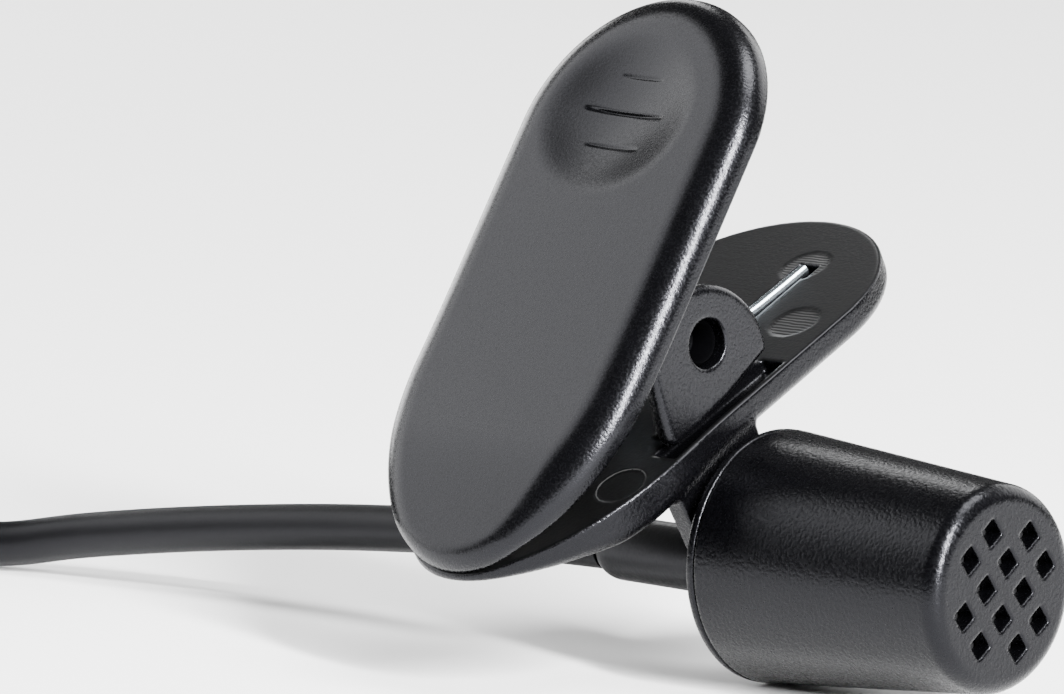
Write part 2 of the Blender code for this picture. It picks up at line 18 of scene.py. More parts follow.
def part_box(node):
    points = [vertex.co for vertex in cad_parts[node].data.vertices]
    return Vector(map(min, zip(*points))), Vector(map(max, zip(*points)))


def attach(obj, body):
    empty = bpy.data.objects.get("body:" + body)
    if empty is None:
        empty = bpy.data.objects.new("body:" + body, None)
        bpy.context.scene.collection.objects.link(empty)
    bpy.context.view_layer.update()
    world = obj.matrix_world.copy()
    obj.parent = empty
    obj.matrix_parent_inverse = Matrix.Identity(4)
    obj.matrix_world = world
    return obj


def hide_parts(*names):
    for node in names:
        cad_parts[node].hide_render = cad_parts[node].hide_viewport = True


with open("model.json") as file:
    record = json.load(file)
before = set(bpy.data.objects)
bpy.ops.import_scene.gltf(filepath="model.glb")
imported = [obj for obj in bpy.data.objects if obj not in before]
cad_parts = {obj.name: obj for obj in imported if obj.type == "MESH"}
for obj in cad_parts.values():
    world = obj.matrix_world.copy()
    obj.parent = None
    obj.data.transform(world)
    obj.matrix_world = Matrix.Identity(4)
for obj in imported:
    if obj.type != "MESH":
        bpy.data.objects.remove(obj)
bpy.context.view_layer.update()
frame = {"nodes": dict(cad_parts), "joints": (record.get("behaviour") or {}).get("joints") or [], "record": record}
MM = 0.001


# ---------------------------------------------------------------- places read from the frame

def centre(node):
    """Middle of a node's box, in metres."""
    low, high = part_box(node)
    return (low + high) / 2


BARREL_LOW, BARREL_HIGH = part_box("barrel")
NECK_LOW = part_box("strain_relief")[0]
BACK_LOW, BACK_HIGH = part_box("clip_back")
BOOT_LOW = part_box("plug_boot")[0]
JOINTS = {joint["name"]: joint for joint in frame["joints"]}
MOUNTS = {mount["name"]: mount for mount in frame["record"]["mounts"]}

ORIGIN = Vector((BARREL_LOW.x, centre("barrel").y, centre("barrel").z))
PIVOT = Vector(JOINTS["jaw"]["pos_m"])
REAR_TILT = math.degrees(math.asin(MOUNTS["clip_plate_face"]["axis"][1]))
FRONT_TILT = 57.8

MIC = Matrix.Translation(ORIGIN) @ Matrix.Scale(MM, 4)
REAR = Matrix.Translation(PIVOT) @ Matrix.Rotation(math.radians(REAR_TILT), 4, "X") @ Matrix.Scale(MM, 4)
FRONT = Matrix.Translation(PIVOT) @ Matrix.Rotation(math.radians(FRONT_TILT), 4, "X") @ Matrix.Scale(MM, 4)
PLUG_START = Vector((centre("plug_boot").x, BOOT_LOW.y, centre("plug_boot").z))
PLUG = Matrix.Translation(PLUG_START) @ Matrix.Rotation(math.radians(90), 4, "Z") @ Matrix.Scale(MM, 4)

# microphone
BARREL_REAR_R = (BARREL_HIGH.y - BARREL_LOW.y) / 2 / MM
BARREL_FRONT_R = 5.66
BARREL_LENGTH = (BARREL_HIGH.x - BARREL_LOW.x) / MM
BARREL_FILLET = 0.9
BARREL_WALL = 1.1
HOLE_PITCH = 1.52
HOLE_HALF_DIAGONAL = 0.8
GRILLE_TURN = -8.4
CAP_THICKNESS = 0.6
SEAM = 0.05
NECK_DROP = (ORIGIN.z - centre("strain_relief").z) / MM
NECK_R = 1.85
NECK_END = (NECK_LOW.x - ORIGIN.x) / MM
NECK_ROUNDING = (1.6, 1.1)
NECK_BORE_R = 0.95
FLANGE = (1.7, 2.6)
FLANGE_R = 2.9

# clip
HALF_WIDTH = (BACK_HIGH.x - BACK_LOW.x) / 2 / MM
CLIP_MIDDLE = (PIVOT.x - ORIGIN.x) / MM
REAR_PLANE = -3.86
FRONT_PLANE = 3.26
REAR_THICKNESS = 1.9
FRONT_THICKNESS = 2.2
REAR_ENDS = (18.4, -16.6)
FRONT_ENDS = (19.1, -16.9)
JAW_TAPER = 12.0
BEND_START = 0.5
REAR_BEND = -0.0045
FRONT_BEND = 0.003
LIP_START = -14.8
REAR_LIP = 0.2
FRONT_LIP = 0.3
LIP_SOFTNESS = 0.3
BELLY = 0.6
BELLY_SPAN = (-1.0, -9.0)
REAR_TAPER = (-10.0, -6.85, 0.155)
FRONT_TAPER = (-9.0, 0.3, 3.0)
REAR_EDGE = (0.9, 1.1)
FRONT_EDGE = (1.65, 2.3)
OUTER_EAR = (6.8, 7.9)
INNER_EAR = (5.4, 6.6)
PIN_R = 1.3
WIRE_R = 0.38
SPRING_R = 1.9
REAR_LEG_X = 2.2
FRONT_LEG_X = -2.8
LEG_END = 13.4
RING_X = (-3.2, -1.7)
RING_R = 3.1
RUNNING_GAP = 0.1
POCKET_V = (-5.4, 4.3)
POCKET_DEPTH = 0.75
# round marks of the mould's pins: x, v, how much lighter the disc is, and the brightness of the painted highlight
# on its edge
EJECTOR_MARKS = ((5.9, 8.2, 4, 0.004), (2.1, 13.7, 8, 0.004), (6.5, -8.2, 1, 0.02),
                 (-5.9, 8.2, 4, 0.004), (-6.5, -8.2, 1, 0.05))
EJECTOR_R = 1.45

# cable
CABLE_R = 1.4
COIL_CENTRE = (centre("cable_coil") - ORIGIN) / MM
TABLE = -ORIGIN.z / MM


# ---------------------------------------------------------------- distance fields

def rounded_cut(a, b, radius):
    """What a and b share, with the edge between them rounded."""
    corner = np.hypot(np.maximum(radius + a, 0), np.maximum(radius + b, 0))
    return np.minimum(-radius, np.maximum(a, b)) + corner


def rounded_join(a, b, radius):
    """a and b together, with a fillet between them."""
    corner = np.hypot(np.maximum(radius - a, 0), np.maximum(radius - b, 0))
    return np.maximum(radius, np.minimum(a, b)) - corner


def box_field(x, y, z, low, high):
    """Distance to a box between two corners."""
    d = [np.maximum(l - c, c - h) for c, l, h in zip((x, y, z), low, high)]
    return np.maximum(np.maximum(d[0], d[1]), d[2])


def ellipsoid_field(x, y, z, middle, radii):
    """Near distance to an ellipsoid."""
    p = [(c - m) / r for c, m, r in zip((x, y, z), middle, radii)]
    k1 = np.sqrt(p[0] ** 2 + p[1] ** 2 + p[2] ** 2)
    k2 = np.sqrt((p[0] / radii[0]) ** 2 + (p[1] / radii[1]) ** 2 + (p[2] / radii[2]) ** 2)
    return k1 * (k1 - 1) / np.maximum(k2, 1e-6)


def outline_field(u, w, corners):
    """Distance to a closed outline in a plane."""
    nearest = np.inf
    inside = False
    for a, b in zip(corners, corners[1:] + corners[:1]):
        along_u, along_w = b[0] - a[0], b[1] - a[1]
        from_u, from_w = u - a[0], w - a[1]
        share = np.clip((from_u * along_u + from_w * along_w) / (along_u ** 2 + along_w ** 2), 0, 1)
        nearest = np.minimum(nearest, np.hypot(from_u - share * along_u, from_w - share * along_w))
        if a[1] != b[1]:
            left = u < a[0] + along_u * (w - a[1]) / along_w
            inside = inside ^ (((a[1] > w) != (b[1] > w)) & left)
    return np.where(inside, -nearest, nearest)


def arc(middle, radius, start, end, steps):
    """Points of a circular arc, with its angles in degrees."""
    points = []
    for k in range(steps + 1):
        angle = math.radians(start + (end - start) * k / steps)
        points.append((middle[0] + radius * math.cos(angle), middle[1] + radius * math.sin(angle)))
    return points


def grid_axis(low, high, pitch, fine=()):
    """Grid places from low to high, a pitch apart, and closer inside the fine spans (start, end, pitch)."""
    places = [low]
    while places[-1] < high:
        steps = [step for start, end, step in fine if start <= places[-1] < end]
        places.append(places[-1] + min(steps + [pitch]))
    return np.array(places)


def skin(field, low, high, pitch, fine=()):
    """Points and quads of the surface where a distance field is zero; fine spans are closer spaced in v."""
    axes = [grid_axis(low[k], high[k], pitch, fine if k == 1 else ()) for k in range(3)]
    values = field(axes[0][:, None, None], axes[1][None, :, None], axes[2][None, None, :])
    cells = tuple(len(a) - 1 for a in axes)
    count = cells[0] * cells[1] * cells[2]
    total, hits, quads = np.zeros((3, count)), np.zeros(count), []
    for axis in range(3):
        first = [slice(None)] * 3
        second = [slice(None)] * 3
        first[axis], second[axis] = slice(0, -1), slice(1, None)
        one, two = values[tuple(first)], values[tuple(second)]
        start = np.argwhere((one < 0) != (two < 0))
        here, there = one[tuple(start.T)], two[tuple(start.T)]
        spot = start.astype(float)
        spot[:, axis] += here / (here - there)
        around = []
        for side, other in ((0, 0), (-1, 0), (-1, -1), (0, -1)):
            cell = start.copy()
            cell[:, (axis + 1) % 3] += side
            cell[:, (axis + 2) % 3] += other
            flat = np.ravel_multi_index(cell.T, cells)
            for k in range(3):
                total[k] += np.bincount(flat, spot[:, k], count)
            hits += np.bincount(flat, minlength=count)
            around.append(flat)
        quad = np.stack(around, 1)
        quads.append(np.where((here < 0)[:, None], quad, quad[:, ::-1]))
    used = np.flatnonzero(hits)
    number = np.zeros(count, int)
    number[used] = np.arange(len(used))
    index = total[:, used] / hits[used]
    points = np.stack([np.interp(index[k], np.arange(len(axes[k])), axes[k]) for k in range(3)], 1)
    for _ in range(3):
        points = onto_surface(field, points, pitch)
    return points, number[np.concatenate(quads)]


def onto_surface(field, points, pitch):
    """Points moved along the field's slope, by at most half a pitch, towards the place where it is zero."""
    step = pitch * 0.1
    slope = np.zeros_like(points)
    for k in range(3):
        ahead, behind = points.copy(), points.copy()
        ahead[:, k] += step
        behind[:, k] -= step
        slope[:, k] = (field(*ahead.T) - field(*behind.T)) / (2 * step)
    move = slope * (field(*points.T) / np.maximum((slope ** 2).sum(1), 0.2))[:, None]
    return points - np.clip(move, -pitch / 2, pitch / 2)


# ---------------------------------------------------------------- pieces

def place(name, points, faces, matrix, mat, body, nodes=(), painted=None, crease=None):
    """A smooth mesh piece from points in a local frame, riding on a body and standing for CAD nodes.

    painted is a second material and the faces it goes on; crease is the angle above which edges stay sharp.
    """
    full = np.hstack([np.asarray(points, float), np.ones((len(points), 1))])
    row = (full @ np.array(matrix).T)[:, :3]
    mesh = bpy.data.meshes.new(name)
    mesh.from_pydata(row.tolist(), [], [list(f) for f in faces])
    mesh.materials.append(mat)
    mesh.shade_smooth()
    if painted:
        mesh.materials.append(painted[0])
        mesh.polygons.foreach_set("material_index", np.asarray(painted[1]).astype(int).tolist())
    if crease:
        mesh.set_sharp_from_angle(angle=math.radians(crease))
    made = bpy.data.objects.new(name, mesh)
    bpy.context.scene.collection.objects.link(made)
    return settle(made, body, nodes)


def settle(made, body, nodes=()):
    """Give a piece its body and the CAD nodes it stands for."""
    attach(made, body)
    if nodes:
        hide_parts(*nodes)
    return made


def turned(profile, steps=96):
    """Points and faces of a body turned about X from (x, radius) points.

    The profile's ends lie on the axis, or else it closes on itself.
    """
    points, rings, faces = [], [], []
    for x, radius in profile:
        count = 1 if radius == 0 else steps
        rings.append(list(range(len(points), len(points) + count)))
        for k in range(count):
            angle = 2 * math.pi * k / steps
            points.append((x, radius * math.cos(angle), radius * math.sin(angle)))
    pairs = list(zip(rings, rings[1:]))
    if profile[0][1] > 0:
        pairs.append((rings[-1], rings[0]))
    for one, two in pairs:
        for k in range(steps):
            after = (k + 1) % steps
            corners = [one[k % len(one)], one[after % len(one)], two[after % len(two)], two[k % len(two)]]
            faces.append(list(dict.fromkeys(corners)))
    return points, faces


def wire(name, points, radius, mat, body, nodes, sides=4):
    """A round wire or cable along points in the row frame, as a curve with filled ends."""
    curve = bpy.data.curves.new(name, "CURVE")
    curve.dimensions = "3D"
    curve.bevel_depth = radius * MM
    curve.bevel_resolution = sides
    curve.use_fill_caps = True
    spline = curve.splines.new("POLY")
    spline.points.add(len(points) - 1)
    for spot, point in zip(spline.points, points):
        spot.co = (*point, 1.0)
    spline.use_smooth = True
    curve.materials.append(mat)
    made = bpy.data.objects.new(name, curve)
    bpy.context.scene.collection.objects.link(made)
    return settle(made, body, nodes)


def smooth_route(points, spacing):
    """Points a spacing apart on the smooth (Catmull-Rom) curve through the route's points."""
    knots = [Vector(p) for p in points]
    knots = [2 * knots[0] - knots[1]] + knots + [2 * knots[-1] - knots[-2]]
    fine = []
    for a, b, c, d in zip(knots, knots[1:], knots[2:], knots[3:]):
        for k in range(40):
            t = k / 40
            fine.append(0.5 * (2 * b + (c - a) * t + (2 * a - 5 * b + 4 * c - d) * t ** 2
                               + (3 * b - a - 3 * c + d) * t ** 3))
    fine.append(knots[-2])
    length = sum((q - p).length for p, q in zip(fine, fine[1:]))
    count = max(2, round(length / spacing))
    route, walked = [fine[0]], 0.0
    for p, q in zip(fine, fine[1:]):
        walked += (q - p).length
        if walked >= length / count * len(route) and len(route) < count:
            route.append(q)
    return route + [fine[-1]]


# ---------------------------------------------------------------- materials

SHEEN = (0.90, 0.91, 1.0, 1.0)


def node_tree(name):
    """A new material, its node tree and its shader."""
    mat = bpy.data.materials.new(name)
    mat.use_nodes = True
    tree = mat.node_tree
    return mat, tree, tree.nodes["Principled BSDF"]


def add_node(tree, kind, **values):
    """A node with its inputs and properties set by name."""
    node = tree.nodes.new("ShaderNode" + kind)
    for name, value in values.items():
        label = name.replace("_", " ").title()
        if label in node.inputs:
            node.inputs[label].default_value = value
        else:
            setattr(node, name, value)
    return node


def moulded(name, colour, roughness, grain, depth, gloss=0.25, calm_along=None):
    """Black moulded plastic with a spark-eroded grain: grain and depth are the grain's size and height in mm.

    calm_along is the direction of the faces on which the grain is polished down.
    """
    mat, tree, shader = node_tree(name)
    link = tree.links.new
    where = add_node(tree, "TexCoord").outputs["Object"]
    fine = add_node(tree, "TexNoise", scale=1 / (grain * MM), detail=1.5, roughness=0.5)
    broad = add_node(tree, "TexNoise", scale=1 / (grain * 9 * MM), detail=2.0, roughness=0.5)
    for texture in (fine, broad):
        link(where, texture.inputs["Vector"])
    tone = add_node(tree, "ValToRGB")
    tone.color_ramp.elements[0].position = 0.3
    tone.color_ramp.elements[1].position = 0.7
    tone.color_ramp.elements[0].color = (*[c * 0.82 for c in colour], 1)
    tone.color_ramp.elements[1].color = (*[c * 1.18 for c in colour], 1)
    link(broad.outputs["Fac"], tone.inputs["Fac"])
    link(tone.outputs["Color"], shader.inputs["Base Color"])
    rough = add_node(tree, "MapRange")
    rough.inputs["From Min"].default_value = 0.3
    rough.inputs["From Max"].default_value = 0.7
    rough.inputs["To Min"].default_value = roughness - 0.05
    rough.inputs["To Max"].default_value = roughness + 0.07
    link(fine.outputs["Fac"], rough.inputs["Value"])
    link(rough.outputs["Result"], shader.inputs["Roughness"])
    bump = add_node(tree, "Bump", strength=1.0, distance=depth * MM)
    link(fine.outputs["Fac"], bump.inputs["Height"])
    link(bump.outputs["Normal"], shader.inputs["Normal"])
    if calm_along:
        facing = add_node(tree, "VectorMath", operation="DOT_PRODUCT")
        facing.inputs[1].default_value = calm_along
        link(add_node(tree, "TexCoord").outputs["Normal"], facing.inputs[0])
        calm = add_node(tree, "MapRange")
        calm.inputs["From Min"].default_value = 0.70
        calm.inputs["From Max"].default_value = 0.93
        calm.inputs["To Min"].default_value = 1.0
        calm.inputs["To Max"].default_value = 0.25
        link(facing.outputs["Value"], calm.inputs["Value"])
        link(calm.outputs["Result"], bump.inputs["Strength"])
    shader.inputs["Specular IOR Level"].default_value = gloss
    shader.inputs["Specular Tint"].default_value = SHEEN
    return mat


def inner_face(name, colour, roughness):
    """The rear half's inner face: cutter lines across it and round marks left by the mould's pins, with a painted
    highlight on the ring round each mark.
    """
    mat, tree, shader = node_tree(name)
    link = tree.links.new
    local = add_node(tree, "Mapping", vector_type="TEXTURE")
    local.inputs["Location"].default_value = PIVOT
    local.inputs["Rotation"].default_value = (math.radians(REAR_TILT), 0, 0)
    local.inputs["Scale"].default_value = (MM, MM, MM)
    link(add_node(tree, "TexCoord").outputs["Object"], local.inputs["Vector"])
    flat = add_node(tree, "VectorMath", operation="MULTIPLY")
    flat.inputs[1].default_value = (1, 1, 0)
    link(local.outputs["Vector"], flat.inputs[0])
    disc, tone = None, None
    for mark_x, mark_v, gain, rim_highlight_tone in EJECTOR_MARKS:
        away = add_node(tree, "VectorMath", operation="DISTANCE")
        away.inputs[1].default_value = (mark_x, mark_v, 0)
        link(flat.outputs["Vector"], away.inputs[0])
        within = add_node(tree, "Math", operation="LESS_THAN")
        within.inputs[1].default_value = EJECTOR_R - 0.03
        # edge masks the thin ring round each mark, which gets the mark's painted highlight tone
        edge = add_node(tree, "Math", operation="COMPARE")
        edge.inputs[1].default_value = EJECTOR_R + 0.02
        edge.inputs[2].default_value = 0.035
        for test in (within, edge):
            link(away.outputs["Value"], test.inputs[0])
        if gain > 1:
            disc = either(tree, disc, within)
        for test, shade in ((within, [c * gain for c in colour]), (edge, [rim_highlight_tone] * 3)):
            blend = add_node(tree, "Mix", data_type="RGBA")
            blend.inputs[6].default_value = (*colour, 1)
            blend.inputs[7].default_value = (*shade, 1)
            link(test.outputs[0], blend.inputs[0])
            if tone:
                link(tone.outputs[2], blend.inputs[6])
            tone = blend
    turned_axes = add_node(tree, "Mapping")
    turned_axes.inputs["Rotation"].default_value = (0, 0, math.radians(33))
    turned_axes.inputs["Scale"].default_value = (0.35, 7.0, 0.2)
    link(local.outputs["Vector"], turned_axes.inputs["Vector"])
    scratches = add_node(tree, "TexNoise", scale=1.0, detail=3.0, roughness=0.65)
    link(turned_axes.outputs["Vector"], scratches.inputs["Vector"])
    speckle = add_node(tree, "TexNoise", scale=5.0, detail=2.0, roughness=0.6)
    link(local.outputs["Vector"], speckle.inputs["Vector"])
    lines = add_node(tree, "Mix", data_type="FLOAT")
    lines.inputs[0].default_value = 0.7
    link(scratches.outputs["Fac"], lines.inputs[2])
    link(speckle.outputs["Fac"], lines.inputs[3])
    swirl = add_node(tree, "TexWave", wave_type="RINGS", scale=1.3, distortion=2.5)
    swirl.inputs["Detail"].default_value = 2.0
    link(local.outputs["Vector"], swirl.inputs["Vector"])
    height = add_node(tree, "Mix", data_type="FLOAT")
    link(disc.outputs[0], height.inputs[0])
    link(lines.outputs[0], height.inputs[2])
    link(swirl.outputs["Fac"], height.inputs[3])
    bump = add_node(tree, "Bump", strength=1.0, distance=0.012 * MM)
    link(height.outputs[0], bump.inputs["Height"])
    link(bump.outputs["Normal"], shader.inputs["Normal"])
    link(tone.outputs[2], shader.inputs["Base Color"])
    rough = add_node(tree, "MapRange")
    rough.inputs["To Min"].default_value = roughness - 0.08
    rough.inputs["To Max"].default_value = roughness + 0.12
    link(lines.outputs[0], rough.inputs["Value"])
    link(rough.outputs["Result"], shader.inputs["Roughness"])
    shader.inputs["Specular IOR Level"].default_value = 0.19
    shader.inputs["Specular Tint"].default_value = SHEEN
    return mat


def either(tree, one, two):
    """A mask that holds where one of two masks does."""
    if one is None:
        return two
    made = add_node(tree, "Math", operation="MAXIMUM")
    tree.links.new(one.outputs[0], made.inputs[0])
    tree.links.new(two.outputs[0], made.inputs[1])
    return made


def metal(name, colour, roughness):
    """Bright metal with faint drawing lines."""
    mat, tree, shader = node_tree(name)
    link = tree.links.new
    where = add_node(tree, "TexCoord").outputs["Object"]
    lines = add_node(tree, "TexNoise", scale=1 / (0.25 * MM), detail=3.0, roughness=0.6)
    link(where, lines.inputs["Vector"])
    rough = add_node(tree, "MapRange")
    rough.inputs["To Min"].default_value = roughness * 0.6
    rough.inputs["To Max"].default_value = roughness * 1.4
    link(lines.outputs["Fac"], rough.inputs["Value"])
    link(rough.outputs["Result"], shader.inputs["Roughness"])
    bump = add_node(tree, "Bump", strength=0.4, distance=0.004 * MM)
    link(lines.outputs["Fac"], bump.inputs["Height"])
    link(bump.outputs["Normal"], shader.inputs["Normal"])
    shader.inputs["Base Color"].default_value = (*colour, 1)
    shader.inputs["Metallic"].default_value = 1.0
    return mat


BARREL_PLASTIC = moulded("barrel_plastic", (0.0006, 0.0006, 0.0008), 0.26, 0.19, 0.022, gloss=0.14)
CLIP_PLASTIC = moulded("clip_plastic", (0.0007, 0.0007, 0.0009), 0.25, 0.15, 0.017, gloss=0.19,
                       calm_along=FRONT.to_3x3().col[2].normalized())
REAR_PLASTIC = moulded("rear_half_plastic", (0.0007, 0.0007, 0.0009), 0.26, 0.17, 0.026, gloss=0.15)
INNER_PLASTIC = inner_face("clip_inner_plastic", (0.0010, 0.0010, 0.0010), 0.34)
RUBBER = moulded("cable_rubber", (0.0010, 0.0010, 0.0012), 0.42, 0.10, 0.006, gloss=0.16)
NECK_RUBBER = moulded("neck_rubber", (0.0010, 0.0010, 0.0012), 0.38, 0.20, 0.012, gloss=0.16)
# The pin is near-black with almost no sheen. That is partly its own blackened finish and partly painted shade for
# the dark inside of the ear's hole.
PIN_BLACK_AND_PAINTED_SHADE = moulded("pin_steel", (0.0003, 0.0003, 0.0004), 0.6, 0.12, 0.008, gloss=0.02)
STEEL = metal("spring_steel", (0.72, 0.80, 0.86), 0.22)
NICKEL = metal("nickel", (0.74, 0.71, 0.66), 0.18)
FELT = moulded("felt", (0.006, 0.006, 0.006), 0.9, 0.08, 0.03)
STRAP = moulded("strap", (0.012, 0.012, 0.014), 0.7, 0.2, 0.05)
BOARD = moulded("board", (0.02, 0.12, 0.05), 0.5, 0.2, 0.01)
LEAD = moulded("lead_insulation", (0.30, 0.04, 0.03), 0.5, 0.2, 0.01)
INSULATOR = moulded("insulator", (0.015, 0.015, 0.015), 0.35, 0.2, 0.005)


# ---------------------------------------------------------------- camera, light and floor

CAMERA_AZIMUTH = 45.959
CAMERA_ELEVATION = 6.921
CAMERA_DISTANCE = 333.33
CAMERA_ASIDE = (13.893, -11.631)
CAMERA_LENS = 203.0
SENSOR_WIDTH = 36.0
FLOOR_HALF_SIDE_M = 4.0
WORLD_STRENGTH = 0.12

# name, direction from the microphone, distance, width and height in metres, power in watts
LIGHTS = (
    ("key_light", (0.852, -0.238, 0.465), 0.6, 0.042, 0.36, 32.0),
    ("fill_light", (-0.80, -0.47, 0.45), 0.8, 0.55, 0.75, 6.4),
    ("side_light", (-0.93, 0.20, 0.22), 0.8, 0.4, 0.3, 3.0),
    ("rim_light", (-0.652, 0.56, 0.54), 0.8, 0.10, 0.4, 0.7),
    ("back_light", (0.03, 0.87, 0.42), 1.0, 0.9, 0.6, 8.0),
)
CEILING_STRENGTH = 5.0
CEILING_ANGLE = 30
CEILING_AIM = (-0.3, -0.2, -0.93)


def make_camera():
    """The camera, aimed a little aside from the microphone's origin."""
    azimuth, elevation = math.radians(CAMERA_AZIMUTH), math.radians(CAMERA_ELEVATION)
    right = Vector((math.cos(azimuth), math.sin(azimuth), 0))
    level = Vector((-math.sin(azimuth), math.cos(azimuth), 0))
    up = level * math.sin(elevation) + Vector((0, 0, math.cos(elevation)))
    back = right.cross(up)
    data = bpy.data.cameras.new("camera")
    data.lens = CAMERA_LENS
    data.sensor_width = SENSOR_WIDTH
    data.clip_start = 0.01
    data.clip_end = 20.0
    camera = bpy.data.objects.new("camera", data)
    place_mm = CAMERA_DISTANCE * back - CAMERA_ASIDE[0] * right - CAMERA_ASIDE[1] * up
    turn = Matrix((right, up, back)).transposed().to_4x4()
    camera.matrix_world = Matrix.Translation(MIC @ place_mm) @ turn
    bpy.context.scene.collection.objects.link(camera)
    bpy.context.scene.camera = camera


def area_light(name, direction, distance, width, height, power):
    """A rectangular soft light, aimed at the microphone."""
    data = bpy.data.lights.new(name, "AREA")
    data.shape = "RECTANGLE"
    data.size = width
    data.size_y = height
    data.energy = power
    light = bpy.data.objects.new(name, data)
    light.location = ORIGIN + Vector(direction).normalized() * distance
    light.rotation_euler = (ORIGIN - light.location).to_track_quat("-Z", "Y").to_euler()
    bpy.context.scene.collection.objects.link(light)


def make_studio():
    """Pale floor, white surroundings and soft lights."""
    world = bpy.data.worlds.new("studio")
    world.use_nodes = True
    background = world.node_tree.nodes["Background"]
    background.inputs["Color"].default_value = (1.0, 1.0, 1.0, 1)
    background.inputs["Strength"].default_value = WORLD_STRENGTH
    bpy.context.scene.world = world
    mesh = bpy.data.meshes.new("floor")
    side = FLOOR_HALF_SIDE_M
    corners = [(-side, -side, 0), (side, -side, 0), (side, side, 0), (-side, side, 0)]
    mesh.from_pydata(corners, [], [(0, 1, 2, 3)])
    mat, _, shader = node_tree("floor_paper")
    shader.inputs["Base Color"].default_value = (0.86, 0.86, 0.86, 1)
    shader.inputs["Roughness"].default_value = 0.8
    mesh.materials.append(mat)
    floor = bpy.data.objects.new("floor", mesh)
    bpy.context.scene.collection.objects.link(floor)
    for light in LIGHTS:
        area_light(*light)
    sun = bpy.data.lights.new("ceiling_light", "SUN")
    sun.energy = CEILING_STRENGTH
    sun.angle = math.radians(CEILING_ANGLE)
    ceiling = bpy.data.objects.new("ceiling_light", sun)
    ceiling.rotation_euler = Vector(CEILING_AIM).to_track_quat("-Z", "Y").to_euler()
    bpy.context.scene.collection.objects.link(ceiling)


make_camera()
make_studio()


# ---------------------------------------------------------------- cable

CABLE_ROUTE = [
    (NECK_END, 0, -0.9), (-18, -0.15, -1.0), (-24, -0.4, -1.25), (-30.4, -0.75, -1.7),
    (-36.6, -1.35, -2.2), (-43, -2.2, -2.85), (-49.2, -3.2, -3.6), (-55.5, -4.35, -4.5),
    (-60.6, -5.75, -5.4), (-64.6, -7.6, -5.6), (-67.2, -9.4, -5.6), (-68.9, -11.0, -5.5),
    (-71.5, -16.0, -5.0),
]
TAIL_ROUTE = [
    (-101.0, -34.5, 3.4), (-107.0, -34.45, 2.7), (-113.0, -34.35, 1.7), (-117.6, -33.6, 0.5),
    (-121.0, -31.4, -0.8), (-123.2, -28.1, -1.9), (-124.0, -24.4, -2.5),
]
COIL_RADII = (22.5, 10.5)
COIL_LAYERS = 4
COIL_FIRST_LAYER = 2.3
COIL_LAYER_STEP = 2.85
COIL_ENTRY = -25
COIL_TURN = 16 * 360 + 65
COIL_RISE = 100
CABLE_SPACING = 0.9


def coil_points(step=6):
    """The wound turns: in and out in flat layers, rising to the next layer while the radius is held."""
    sweep = (COIL_TURN - COIL_RISE * (COIL_LAYERS - 1)) / COIL_LAYERS
    points = []
    count = round(COIL_TURN / step)
    for k in range(count + 1):
        angle = COIL_TURN * k / count
        layer = min(COIL_LAYERS - 1, int(angle // (sweep + COIL_RISE)))
        within = angle - layer * (sweep + COIL_RISE)
        inward = min(1.0, within / sweep)
        start, end = COIL_RADII if layer % 2 == 0 else COIL_RADII[::-1]
        radius = start + (end - start) * inward
        rise = max(0.0, within - sweep) / COIL_RISE
        lift = rise * rise * (3 - 2 * rise)
        turn = math.radians(COIL_ENTRY - angle)
        points.append((COIL_CENTRE.x + radius * math.cos(turn), COIL_CENTRE.y + radius * math.sin(turn),
                       TABLE + COIL_FIRST_LAYER + COIL_LAYER_STEP * (layer + lift)))
    return points


def make_cable():
    """The whole cord as one cable: the drooping stretch, the wound turns and the tail to the plug."""
    line = smooth_route(CABLE_ROUTE + coil_points() + TAIL_ROUTE, CABLE_SPACING)
    return wire("cable", [MIC @ p for p in line], CABLE_R, RUBBER, "microphone",
                ("cable_run", "cable_coil", "cable_tail"), sides=6)


CABLE = make_cable()


# ---------------------------------------------------------------- clip halves

def half_field(x, v, ends):
    """Distance to a clip half's outline: round finger end, straight sides, elliptical jaw end."""
    across = np.abs(x)
    finger = np.hypot(across, np.maximum(v - ends[0] + HALF_WIDTH, 0)) - HALF_WIDTH
    down = np.minimum(v - ends[1] - JAW_TAPER, 0)
    k1 = np.hypot(across / HALF_WIDTH, down / JAW_TAPER)
    k2 = np.hypot(across / HALF_WIDTH ** 2, down / JAW_TAPER ** 2)
    jaw = k1 * (k1 - 1) / np.maximum(k2, 1e-6)
    return np.where(down < 0, jaw, finger)


def eased(distance, softness):
    """A ramp that starts smoothly at zero."""
    return np.hypot(np.maximum(0, distance), softness) - softness


def rear_inner(v):
    """Height of the rear half's inner face along v: flat, then bending away, with a lip at the jaw's end."""
    plate = REAR_PLANE + REAR_BEND * np.maximum(0, BEND_START - v) ** 2
    return plate - REAR_LIP * eased(LIP_START - v, LIP_SOFTNESS)


def rear_outer(v):
    """Height of the rear half's outer face: a belly round the lug, then a taper to the thin jaw end."""
    share = np.clip((BELLY_SPAN[0] - v) / (BELLY_SPAN[0] - BELLY_SPAN[1]), 0, 1)
    body = REAR_PLANE - REAR_THICKNESS + REAR_BEND * np.maximum(0, BEND_START - v) ** 2
    body = body - BELLY * share * share * (3 - 2 * share)
    start, height, slope = REAR_TAPER
    taper = height + slope * (start - v) - 0.02 * np.maximum(0, start - 4.5 - v) ** 2
    return (body + taper + np.hypot(body - taper, 0.15)) / 2


def front_inner(v):
    """Height of the front half's inner face along v, with a lip that meets the rear half's."""
    plate = FRONT_PLANE + FRONT_BEND * np.maximum(0, BEND_START - v) ** 2
    return plate - FRONT_LIP * eased(LIP_START - v, LIP_SOFTNESS)


def front_outer(v):
    """Height of the front half's outer face along v, falling away towards the jaw's end."""
    start, slope, softness = FRONT_TAPER
    plate = FRONT_PLANE + FRONT_THICKNESS + FRONT_BEND * np.maximum(0, BEND_START - v) ** 2
    return plate - slope * eased(start - v, softness)


